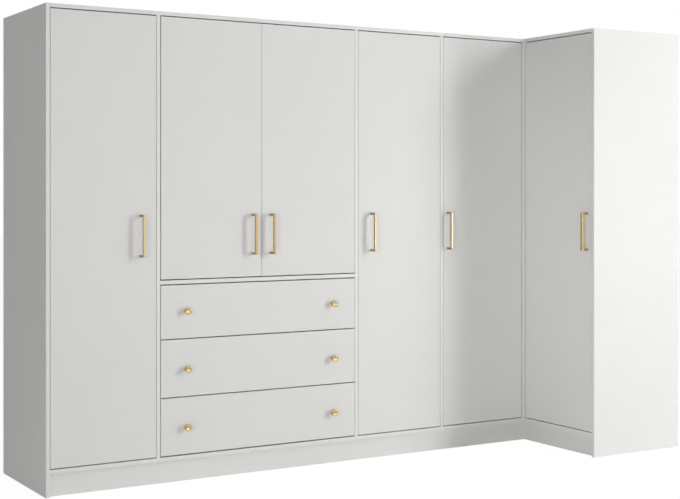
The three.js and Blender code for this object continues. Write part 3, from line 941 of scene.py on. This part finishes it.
# %% Hinge arms and plates
SEAT_GAP = 0.3 * MM
PLATE_START = BOARD + 22 * MM
PLATE_LONG = 42 * MM
PLATE_TALL = 48 * MM
PLATE_STEM = 18 * MM
PLATE_THICK = 2.5 * MM
PLATE_SCREW = PLATE_TALL / 2 - 5 * MM
ARM_WIDE = 15 * MM
ARM_THICK = 9 * MM
ARM_WALL = 1.2 * MM
ARM_NOSE = 8 * MM
ARM_DIP = 5 * MM
ARM_TOP = PLATE_THICK + ARM_THICK
ARM_SLOTS = ((PLATE_START + 8 * MM, 6 * MM), (PLATE_START + 30 * MM, 10 * MM))  # place and length
SLOT_WIDE = 5 * MM
SMALL_ROUND = 1.5 * MM
ROUND = 3.5 * MM
OUTWARD = (1, 0, 0)


def plate_outline(z):
    """The winged plate, seen along u."""
    start, end = PLATE_START, PLATE_START + PLATE_LONG
    middle, stem, wing = (start + end) / 2, PLATE_STEM / 2, PLATE_TALL / 2
    half = [
        (start, -stem, SMALL_ROUND),
        (middle - stem, -stem),
        (middle - stem, -wing, ROUND),
        (middle + stem, -wing, ROUND),
        (middle + stem, -stem),
        (end, -stem, SMALL_ROUND),
    ]
    mirrored = [(v, -h, *radius) for v, h, *radius in reversed(half)]
    return [(v, h + z) for v, h in rounded(half + mirrored, 4)]


def arm_outline():
    """The cranked arm, seen along z."""
    end = PLATE_START + PLATE_LONG - ROUND
    face, dip = RIM + SEAT_GAP, RIM - ARM_DIP
    corners = [
        (0, end),
        (ARM_TOP, end, ROUND),
        (ARM_TOP, PLATE_START, ROUND),
        (CUP_U + ARM_NOSE, face + ARM_THICK, ROUND),
        (CUP_U + ARM_NOSE, dip, SMALL_ROUND),
        (CUP_U - ARM_NOSE, dip, SMALL_ROUND),
        (CUP_U - ARM_NOSE, face),
        (CUP_U - FLANGE_RADIUS, face),
        (0, PLATE_START),
    ]
    return rounded(corners, 4)


def add_arm(mesh, z):
    """The crank less two slots in its back, through which its setting screws are turned."""
    solid, slots = bmesh.new(), bmesh.new()
    add_prism(solid, arm_outline(), z - ARM_WIDE / 2, z + ARM_WIDE / 2)
    for v, long in ARM_SLOTS:
        opening = [(a + v, b + z) for a, b in slot_outline(long, SLOT_WIDE, 6)]
        add_prism(slots, opening, ARM_TOP - ARM_WALL, ARM_TOP + MM, ALONG_X)
    append_mesh(mesh, cut_away(solid, slots))


def hinge_arms(node):
    place = door_place(node) @ Matrix.Translation((SEAT_GAP, 0, 0))
    mesh = bmesh.new()
    spots, setters = [], []
    middle = PLATE_START + PLATE_LONG / 2
    for z, _ in hinges(node):
        add_prism(mesh, plate_outline(z), 0, PLATE_THICK, ALONG_X)
        add_arm(mesh, z)
        spots += [((PLATE_THICK, middle, z + way * PLATE_SCREW), OUTWARD) for way in BOTH_WAYS]
        setters += [((ARM_TOP - ARM_WALL, v, z), OUTWARD) for v, _ in ARM_SLOTS]
    mesh.transform(place)
    replaced = [node + "_lower_hinge", node + "_upper_hinge"]
    piece(node + "_hinge_arms", mesh, [NICKEL], "carcass", replaced, arris=0.4 * MM)
    screws(node + "_plate_screws", spots, "carcass", 7, 1.0, place)
    screws(node + "_setting_screws", setters, "carcass", 9, 0.55, place)


for node in DOORS:
    hinge_arms(node)
print("hinge arms:", 2 * len(DOORS))

# %% [markdown]
# ## Dividers
#
# The dividers are the busiest boards. Where shelves can move, a divider has two rows of blind holes
# 32 mm apart, some above and some below each shelf. A tree draws each row from its lowest to its
# highest hole, resamples it at that spacing, sets a drill on every point and cuts them all with one
# Mesh Boolean. A nickel pin stands in the hole under each corner of a shelf.

# %% Rows of shelf holes
HOLE_SPACING = 32 * MM
HOLE_RADIUS = 2.5 * MM
HOLE_DEPTH = 10 * MM
HOLE_SETBACKS = (60 * MM, 400 * MM)  # the two columns, from the divider's front edge
HOLES_EACH_WAY = 4
PIN_RADIUS = 2.4 * MM
PIN_PLAY = 0.1 * MM
SHELVES = ("right_lower_shelf", "right_upper_shelf")


def marks_along(tree, lines, spacing):
    """Points a set distance apart along the edges of a mesh."""
    curve = add_node(tree, "GeometryNodeMeshToCurve", {"Mesh": lines})
    marks = {"Curve": curve, "Length": spacing}
    return add_node(tree, "GeometryNodeResampleCurve", marks, mode="LENGTH")


def drilling_tree():
    sizes = dict.fromkeys(("Spacing", "Radius", "Depth"), "Float")
    tree, given, result = new_tree("drilled_rows", {"Rows": "Object", **sizes, "Inside": "Material"})
    rows = add_node(tree, "GeometryNodeObjectInfo", {"Object": given["Rows"]}).outputs["Geometry"]
    deep = add_node(tree, "ShaderNodeMath", {0: given["Depth"], 1: 2.0}, operation="MULTIPLY")
    drill = {"Vertices": 12, "Radius": given["Radius"], "Depth": deep}
    drill = add_node(tree, "GeometryNodeMeshCylinder", drill)
    bright = {"Geometry": drill, "Material": given["Inside"]}
    bright = add_node(tree, "GeometryNodeSetMaterial", bright)
    marks = marks_along(tree, rows, given["Spacing"])
    holes = {"Points": marks, "Instance": bright, "Rotation": (0.0, math.radians(90), 0.0)}
    holes = add_node(tree, "GeometryNodeInstanceOnPoints", holes)
    solid = add_node(tree, "GeometryNodeRealizeInstances", {"Geometry": holes})
    cut = {"Mesh 1": given["Geometry"], "Mesh 2": solid}
    cut = add_node(tree, "GeometryNodeMeshBoolean", cut, operation="DIFFERENCE", solver="EXACT")
    feed(tree, result, {"Geometry": cut})
    return tree


DRILLING = drilling_tree()


def pin_height(shelf):
    """A pin carries its shelf, so its axis is its own radius below the board."""
    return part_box(shelf)[0].z - PIN_RADIUS - PIN_PLAY


def drill_rows(board, face):
    """Cuts the rows of holes into a board at the plane x = face."""
    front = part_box("right_divider")[0].y
    reach = HOLES_EACH_WAY * HOLE_SPACING
    ends, edges = [], []
    for setback in HOLE_SETBACKS:
        for shelf in SHELVES:
            edges.append((len(ends), len(ends) + 1))
            z = pin_height(shelf)
            ends += [(face, front + setback, z + way * reach) for way in BOTH_WAYS]
    rows = drawn("hole_rows", ends, edges)
    inputs = {"Rows": rows, "Spacing": HOLE_SPACING, "Radius": HOLE_RADIUS, "Depth": HOLE_DEPTH}
    grow(board, DRILLING, {**inputs, "Inside": RAW_CHIPBOARD})
    bpy.data.objects.remove(rows)


print("tree:", DRILLING.name, "drills every", HOLE_SPACING / MM, "mm")


# %% Divider boards
def divider(node, low, high, face=None):
    """A divider board, with shelf holes in the face that it turns to the shelves."""
    mesh, core = bmesh.new(), bmesh.new()
    add_board(core, *add_bands(mesh, low, high, "-y"), "", "+y +z -z")
    if face is not None:
        # The core is drilled without its edging, because a Boolean wants one closed solid
        passing = new_object("divider_core", core, BOARD_FINISHES)
        drill_rows(passing, face)
        core = taken(passing)
    append_mesh(mesh, core)
    board_piece(node, mesh)


left_low, left_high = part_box("left_divider")
middle_low, middle_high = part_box("middle_divider")
right_low, right_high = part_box("right_divider")
divider("left_divider", left_low, (left_low.x + BOARD, left_high.y, left_high.z))
middle_start = (middle_high.x - BOARD, middle_low.y, middle_low.z)
divider("middle_divider", middle_start, middle_high, middle_high.x)
divider("right_divider", right_low, right_high, right_low.x)
pins = []
for shelf in SHELVES:
    for setback in HOLE_SETBACKS:
        for face, way in ((middle_high.x, 1), (right_low.x, -1)):
            pins.append(((face, right_low.y + setback, pin_height(shelf)), (way, 0, 0)))
stamped("shelf_pins", SHELF_PIN, pins, NICKEL, "carcass", seed=19)
print("dividers: 3, with", len(pins), "pins under the shelves")

# %% [markdown]
# ## Caps over the fittings
#
# Flat-packed boards are drawn together by cams, two where the end of a board meets an upright. Each
# cam lies in the board's under side or upper side, 34 mm from the upright, under a nylon cap.

# %% Cam caps
CAM_INSET = 34 * MM
CAM_SETBACKS = (60 * MM, 400 * MM)
LEFT_BAY = (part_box("left_side_panel")[1].x, left_low.x)
DRAWER_BAY = (left_low.x + BOARD, middle_high.x - BOARD)
RIGHT_BAY = (middle_high.x, right_low.x)


def cam_row(node, way, bay):
    """Caps in a board's upper side, way 1, or under side, -1, beside the uprights of a bay."""
    low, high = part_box(node)
    z = high.z if way > 0 else low.z
    stops = (bay[0] + CAM_INSET, bay[1] - CAM_INSET)
    return [((x, low.y + setback, z), (0, 0, way)) for x in stops for setback in CAM_SETBACKS]


caps = cam_row("main_top", -1, LEFT_BAY) + cam_row("main_bottom", 1, LEFT_BAY)
caps += cam_row("main_top", -1, DRAWER_BAY)
caps += cam_row("main_top", -1, RIGHT_BAY) + cam_row("main_bottom", 1, RIGHT_BAY)
caps += cam_row("drawer_shelf", -1, DRAWER_BAY)
stamped("cam_caps", CAM_CAP, caps, WHITE_NYLON, "carcass", seed=21)
print("cam caps:", len(caps))

# %% [markdown]
# ## Backs
#
# Each back is a sheet of hardboard nailed on from behind. The nails follow the boards that they hold
# to, about every 120 mm, so a tree lays them along a path: it resamples the lines and stamps a nail
# on each point. The sheets stop a nail's head short of the frame's rear plane.

# %% Hardboard backs
NAIL_SPACING = 120 * MM
NAIL_END_GAP = 40 * MM
SHEET_SINK = NAIL_HEAD * MM


def back_piece(node, axis):
    """White inside, brown fibre on the wall side and along its edges."""
    low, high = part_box(node)
    high[axis] -= SHEET_SINK
    mesh = bmesh.new()
    for face in add_box(mesh, low, high, 1):
        face.normal_update()
        if face.normal[axis] < -0.5:
            face.material_index = 0
    finishes = [HARDBOARD_WHITE, HARDBOARD_FIBRE]
    piece(node + "_sheet", mesh, finishes, "carcass", [node], arris=0.2 * MM, steps=1)


def nailing_tree():
    inputs = {"Nail": "Object", "Spacing": "Float", "Turn": "Rotation", "Finish": "Material"}
    tree, given, result = new_tree("nails_along_lines", inputs)
    nail = add_node(tree, "GeometryNodeObjectInfo", {"Object": given["Nail"]}).outputs["Geometry"]
    marks = marks_along(tree, given["Geometry"], given["Spacing"])
    copies = {"Points": marks, "Instance": nail, "Rotation": given["Turn"]}
    end_in_copies(tree, result, given["Finish"], copies)
    return tree


NAILING = nailing_tree()


def nails(name, lines, turn):
    """Nails along straight lines, each given by its two ends."""
    ends = [end for line in lines for end in line]
    obj = drawn(name, ends, [(i, i + 1) for i in range(0, len(ends), 2)])
    grow(obj, NAILING, {"Nail": NAIL, "Spacing": NAIL_SPACING, "Turn": turn, "Finish": ZINC})
    hand_over(obj, "carcass")


def frame_lines(node, across, uprights=()):
    """Lines round a back, half a board inside it, and up the boards behind it."""
    low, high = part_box(node)
    edge = BOARD / 2
    plane = high[1 - across] - SHEET_SINK
    ends = [low[across] + edge, high[across] - edge]
    bottom, top = low.z + edge, high.z - edge

    def spot(along, z):
        point = Vector((0, 0, z))
        point[across], point[1 - across] = along, plane
        return point

    lines = [(spot(ends[0], z), spot(ends[1], z)) for z in (bottom, top)]
    for along in (*ends, *uprights):
        lines.append((spot(along, bottom + NAIL_END_GAP), spot(along, top - NAIL_END_GAP)))
    return lines


for node, axis in (("left_back", 1), ("right_back", 1), ("return_back", 0)):
    back_piece(node, axis)
rear = frame_lines("left_back", 0, [left_low.x + BOARD / 2])
rear += frame_lines("right_back", 0, [right_low.x + BOARD / 2])
nails("rear_nails", rear, (math.radians(-90), 0.0, 0.0))
nails("side_nails", frame_lines("return_back", 1), (0.0, math.radians(90), 0.0))
print("backs: three hardboard sheets, a nail about every", NAIL_SPACING / MM, "mm")

# %% [markdown]
# ## Drawers
#
# A drawer is a white front with edging all round, screwed from inside to an open box of 12 mm board.
# The bottom is a thin sheet let in above the lower edge. The sliding half of each runner is a steel
# channel that nests in the fixed one with half a millimetre of play.

# %% Fronts and boxes
DRAWERS = {"drawer_1": "top_drawer", "drawer_2": "middle_drawer", "drawer_3": "bottom_drawer"}
HANDS = ("left", "right")
BOX_WALL = 12 * MM
BOX_BOTTOM = 4 * MM
BOX_BOTTOM_LIFT = 10 * MM
RUNNER_SPACE = 13 * MM
RUNNER_WALL = 2 * MM
RUNNER_PLAY = 0.5 * MM
RIGHT_EDGE = 1.4 * MM  # the fronts hang a little to the right, as the doors do
LOWEST_EDGE = 1.0 * MM  # and the lowest one has the widest gap, under it
FRONT_SCREW_IN = 60 * MM
FRONT_SCREW_UP = 30 * MM


def box_corners(node):
    """The box without the steel that stands out at its sides."""
    low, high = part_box(node + "_box")
    steel = Vector((RUNNER_SPACE - RUNNER_WALL - RUNNER_PLAY, 0, 0))
    return low + steel, high - steel


def drawer_front(node, body):
    low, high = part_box(node + "_front")
    if node == "drawer_3":
        low.z += LOWEST_EDGE
    mesh = bmesh.new()
    add_board(mesh, low, high + Vector((RIGHT_EDGE, 0, 0)), ALL_ROUND)
    board_piece(node + "_front", mesh, body)


def drawer_box(node, body):
    low, high = box_corners(node)
    mesh = bmesh.new()
    for x in (low.x, high.x - BOX_WALL):
        add_board(mesh, (x, low.y, low.z), (x + BOX_WALL, high.y, high.z), "+z", "+y")
    left, right = low.x + BOX_WALL, high.x - BOX_WALL
    for y in (low.y, high.y - BOX_WALL):
        add_board(mesh, (left, y, low.z), (right, y + BOX_WALL, high.z), "+z")
    front, rear, floor = low.y + BOX_WALL, high.y - BOX_WALL, low.z + BOX_BOTTOM_LIFT
    add_box(mesh, (left, front, floor), (right, rear, floor + BOX_BOTTOM), FACE)
    finishes = [DRAWER_MELAMINE, WHITE_EDGING, RAW_CHIPBOARD]
    piece(node + "_box_boards", mesh, finishes, body, [node + "_box"])


def drawer_screws(node, body):
    """Four screws through the box into the front, and one for each knob."""
    low, high = box_corners(node)
    columns = (low.x + FRONT_SCREW_IN, high.x - FRONT_SCREW_IN)
    rows = (low.z + FRONT_SCREW_UP, high.z - FRONT_SCREW_UP)
    spots = [(x, z) for x in columns for z in rows]
    for hand in HANDS:
        knob_low, knob_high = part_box(f"{node}_{hand}_knob")
        centre = (knob_low + knob_high) / 2
        spots.append((centre.x, centre.z))
    spots = [((x, low.y + BOX_WALL, z), INWARD) for x, z in spots]
    screws(node + "_front_screws", spots, body, seed=11)


for node, body in DRAWERS.items():
    drawer_front(node, body)
    drawer_box(node, body)
    drawer_screws(node, body)
print("drawers:", list(DRAWERS))

# %% Runners
RUNNER_LIFT = 38 * MM
RUNNER_HIGH = 45 * MM
RUNNER_INSET = 5 * MM
RUNNER_SCREW_IN = 35 * MM
SLIDING_SCREW_ON = 15 * MM
NEST = RUNNER_WALL + RUNNER_PLAY


def add_channel(mesh, face, out, low, deep, high, ends):
    """A steel channel against the plane x = face, its mouth towards out."""
    wall = RUNNER_WALL
    mouth, web = face + out * deep, face + out * wall
    lower = [(low, face), (low, mouth), (low + wall, mouth), (low + wall, web)]
    upper = [(2 * low + high - z, x) for z, x in reversed(lower)]
    add_prism(mesh, lower + upper, *ends, ALONG_Y)


def runners():
    """Fixed channels on both dividers and the sliding ones on each box."""
    fixed = bmesh.new()
    fixed_spots = []
    for node, body in DRAWERS.items():
        low, high = box_corners(node)
        lowest = low.z + RUNNER_LIFT
        middle = lowest + RUNNER_HIGH / 2
        start, end = ends = (low.y + RUNNER_INSET, high.y - RUNNER_INSET)
        sliding = bmesh.new()
        spots = []
        for face, box_face, out in ((DRAWER_BAY[0], low.x, 1), (DRAWER_BAY[1], high.x, -1)):
            deep, high_inside = RUNNER_SPACE - NEST, RUNNER_HIGH - 2 * NEST
            add_channel(fixed, face, out, lowest, RUNNER_SPACE - RUNNER_PLAY, RUNNER_HIGH, ends)
            add_channel(sliding, box_face, -out, lowest + NEST, deep, high_inside, ends)
            web, box_web = face + out * RUNNER_WALL, box_face - out * RUNNER_WALL
            for y in (start + RUNNER_SCREW_IN, (start + end) / 2, end - RUNNER_SCREW_IN):
                fixed_spots.append(((web, y, middle), (out, 0, 0)))
                spots.append(((box_web, y + SLIDING_SCREW_ON, middle), (-out, 0, 0)))
        piece(node + "_sliding_runners", sliding, [ZINC], body, arris=0.3 * MM)
        screws(node + "_runner_screws", spots, body, 13, 0.8)
    piece("fixed_runners", fixed, [ZINC], "carcass", arris=0.3 * MM)
    screws("fixed_runner_screws", fixed_spots, "carcass", 15, 0.8)


runners()
print("runners:", 2 * len(DRAWERS), "pairs")

# %% [markdown]
# ## Knobs
#
# Each knob is turned: a thin foot, a waisted neck and a head whose face is dished, so that its rim
# and its hollow catch the light from opposite sides. Its profile is a few arcs, spun about the
# knob's axis. A UV map runs round the axis and along the profile, so the turning marks follow the
# form.

# %% Turned knobs
KNOB_REACH = 24 * MM
KNOB_HEAD = 14 * MM
KNOB_NECK = 5.5 * MM
KNOB_FOOT = 8 * MM
KNOB_FOOT_THICK = 2 * MM
KNOB_HEAD_THICK = 8 * MM
KNOB_RIM = 3 * MM
KNOB_DISH = 9.5 * MM
KNOB_DISH_DEEP = 1.5 * MM


def knob_profile():
    neck_top = KNOB_REACH - KNOB_HEAD_THICK
    hollow = KNOB_REACH - KNOB_DISH_DEEP
    points = [Vector((0, 0)), Vector((KNOB_FOOT, 0)), Vector((KNOB_FOOT, KNOB_FOOT_THICK))]
    arcs = [
        # where each arc turns, where it ends and its steps
        ((KNOB_NECK, KNOB_FOOT_THICK), (KNOB_NECK, (neck_top + KNOB_FOOT_THICK) / 2), 6),
        ((KNOB_NECK, neck_top), (KNOB_HEAD - KNOB_RIM, neck_top), 6),
        ((KNOB_HEAD, neck_top), (KNOB_HEAD, neck_top + KNOB_RIM), 6),
        ((KNOB_HEAD, KNOB_REACH), (KNOB_DISH, KNOB_REACH), 10),
        ((KNOB_DISH / 2, hollow), (0, hollow), 8),
    ]
    for middle, end, steps in arcs:
        points += turn_corner(points[-1], Vector(middle), Vector(end), steps, first=1)
    return points


def knob_piece(node, body):
    """The knob of a CAD node, with its marks mapped round its axis."""
    low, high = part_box(node)
    centre = (low + high) / 2
    foot = Vector((centre.x, high.y, centre.z))
    mesh = bmesh.new()
    axis = Matrix.Translation(foot) @ Matrix.Rotation(math.radians(90), 4, "X")
    add_turned(mesh, knob_profile(), place=axis)
    layer = mesh.loops.layers.uv.new("turning")
    for face in mesh.faces:
        for loop in face.loops:
            spot = loop.vert.co - foot
            around = math.atan2(spot.z, spot.x) * KNOB_HEAD
            loop[layer].uv = (around, spot.y + math.hypot(spot.x, spot.z))
    piece(node + "_turned", mesh, [TURNED_BRASS], body, [node], arris=0.3 * MM)


for node, body in DRAWERS.items():
    for hand in HANDS:
        knob_piece(f"{node}_{hand}_knob", body)
print("knobs:", len(HANDS) * len(DRAWERS))

# %% [markdown]
# ## Hanging rails
#
# A rail is an oval steel tube, 30 by 15 mm, and its form follows a rule: one section along one path.
# So a tree sweeps it. The path is two or three points, the corner is rounded with Fillet Curve, and
# the oval is a rectangle whose corners are rounded until they meet. Cast sockets hold the ends.

# %% Swept rails
RAIL_TALL = 30 * MM
RAIL_THICK = 15 * MM
RAIL_BEND = 150 * MM
SOCKET_RIM = 5 * MM
SOCKET_DEEP = 12 * MM
SOCKET_THICK = RAIL_THICK + 2 * SOCKET_RIM
ALMOST_HALF = 0.4999  # of the thickness, so that two rounds all but meet
UP = Vector((0, 0, 1))


def rail_tree():
    sizes = dict.fromkeys(("Height", "Thickness", "Bend Radius"), "Float")
    tree, given, result = new_tree("swept_rail", {**sizes, "Finish": "Material"})
    path = add_node(tree, "GeometryNodeMeshToCurve", {"Mesh": given["Geometry"]})
    bent = {"Curve": path, "Count": 20, "Radius": given["Bend Radius"]}
    bent = add_node(tree, "GeometryNodeFilletCurve", bent, mode="POLY")
    level = add_node(tree, "GeometryNodeSetCurveNormal", {"Curve": bent}, mode="Z_UP")
    flat = {"Width": given["Thickness"], "Height": given["Height"]}
    flat = add_node(tree, "GeometryNodeCurvePrimitiveQuadrilateral", flat, mode="RECTANGLE")
    half = {0: given["Thickness"], 1: ALMOST_HALF}
    half = add_node(tree, "ShaderNodeMath", half, operation="MULTIPLY")
    oval = {"Curve": flat, "Count": 8, "Radius": half}
    oval = add_node(tree, "GeometryNodeFilletCurve", oval, mode="POLY")
    tube = {"Curve": level, "Profile Curve": oval, "Fill Caps": True}
    real = {"Geometry": add_node(tree, "GeometryNodeCurveToMesh", tube)}
    dressed = {"Geometry": add_node(tree, "GeometryNodeRealizeInstances", real)}
    dressed["Material"] = given["Finish"]
    feed(tree, result, {"Geometry": add_node(tree, "GeometryNodeSetMaterial", dressed)})
    return tree


RAIL = rail_tree()


def rail_piece(node, path):
    """A swept tube with its two sockets, in place of a CAD rail."""
    swept = drawn("rail_path", path, [(i, i + 1) for i in range(len(path) - 1)])
    sizes = {"Height": RAIL_TALL, "Thickness": RAIL_THICK, "Bend Radius": RAIL_BEND}
    mesh = taken(grow(swept, RAIL, {**sizes, "Finish": CHROME}))
    bmesh.ops.remove_doubles(mesh, verts=mesh.verts, dist=0.001 * MM)
    socket = slot_outline(RAIL_TALL + 2 * SOCKET_RIM, SOCKET_THICK)
    spots = []
    for end, inner in ((path[0], path[1]), (path[-1], path[-2])):
        way = (inner - end).normalized()
        turn = Matrix((UP, way.cross(UP), way)).transposed().to_4x4()
        add_prism(mesh, socket, 0, SOCKET_DEEP, Matrix.Translation(end) @ turn, 1)
        spots.append((end + way * SOCKET_DEEP / 2 - UP * (RAIL_TALL / 2 + SOCKET_RIM), -UP))
    piece(node + "_tube", mesh, [CHROME, NICKEL], "carcass", [node], arris=0.8 * MM)
    screws(node + "_screws", spots, "carcass", 17, 0.6)


for node in ("left_rail", "middle_rail"):
    low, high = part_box(node)
    middle = (low + high) / 2
    rail_piece(node, [Vector((x, middle.y, middle.z)) for x in (low.x, high.x)])
low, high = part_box("corner_rail")
x, y = high.x - SOCKET_THICK / 2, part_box("left_rail")[0].y + SOCKET_THICK / 2
corner_path = [Vector((*spot, (low.z + high.z) / 2)) for spot in ((low.x, y), (x, y), (x, low.y))]
rail_piece("corner_rail", corner_path)
print("rails:", RAIL_TALL / MM, "by", RAIL_THICK / MM, "mm oval")

# %% [markdown]
# ## Tidy up and count the triangles
#
# The stamps have done their work and are removed.

# %% Close
for stamp in STAMPS:
    bpy.data.objects.remove(stamp)
shown = [obj for obj in bpy.data.objects if obj.type == "MESH" and not obj.hide_render]
triangles = sum(len(face.vertices) - 2 for obj in shown for face in obj.data.polygons)
print("triangles:", triangles)
